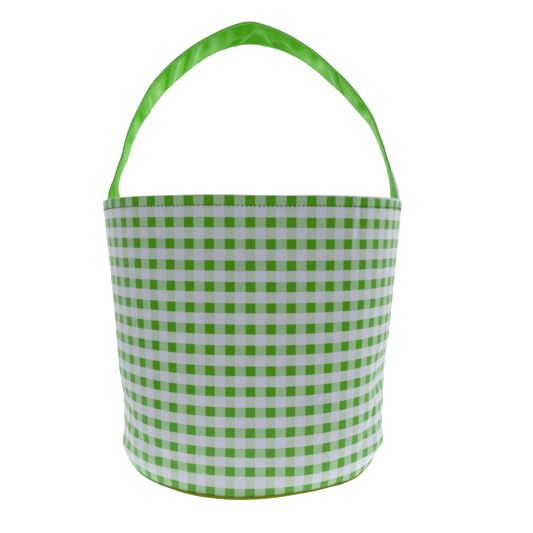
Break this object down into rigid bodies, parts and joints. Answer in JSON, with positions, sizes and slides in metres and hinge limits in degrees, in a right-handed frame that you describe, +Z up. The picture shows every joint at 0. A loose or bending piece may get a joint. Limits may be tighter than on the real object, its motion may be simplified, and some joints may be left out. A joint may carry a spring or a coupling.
{
  "type": "fruit picking bag",
  "caption": "Round open-topped bag of green check cloth over a stiffened wall, with a lining, a board in its base and one arched cloth strap handle that swings to either side.",
  "frame": {"origin": "centre of the base, on the plane the bag stands on", "axes": "+Z up through the mouth, -Y to the front, the strap's two feet on +X and -X"},
  "size_m": [0.2276, 0.2276, 0.3348],
  "materials": {
    "gingham_cloth": "woven green and white checks, matt",
    "green_cloth": "plain woven lime green, matt",
    "olive_base_cloth": "plain woven olive green, matt",
    "stiffener_felt": "pressed off-white felt",
    "base_chipboard": "raw grey-brown board",
    "lining_cloth": "plain woven white cotton, matt",
    "green_thread": "dark green twisted thread"
  },
  "bodies": {
    "bag": {"outer_front_panel": "gingham_cloth", "outer_back_panel": "gingham_cloth", "outer_base_panel": "olive_base_cloth", "front_stiffener": "stiffener_felt", "back_stiffener": "stiffener_felt", "base_board": "base_chipboard", "lining_front_panel": "lining_cloth", "lining_back_panel": "lining_cloth", "lining_base_panel": "lining_cloth", "left_strap_tail": "green_cloth", "right_strap_tail": "green_cloth", "rim_needle_thread": "green_thread", "rim_bobbin_thread": "green_thread", "base_seam_thread": "green_thread", "left_side_seam_thread": "green_thread", "right_side_seam_thread": "green_thread"},
    "handle": {"handle_outer_strip": "green_cloth", "handle_core": "stiffener_felt", "handle_inner_strip": "green_cloth", "handle_front_edge_thread": "green_thread", "handle_back_edge_thread": "green_thread"}
  },
  "joints": [
    {"name": "handle_swing", "type": "hinge", "parent": "bag", "child": "handle", "pos_m": [0, 0, 0.214], "axis": [1, 0, 0], "range_deg": [-85, 85], "stiffness_Nm_per_rad": 0.08}
  ]
}
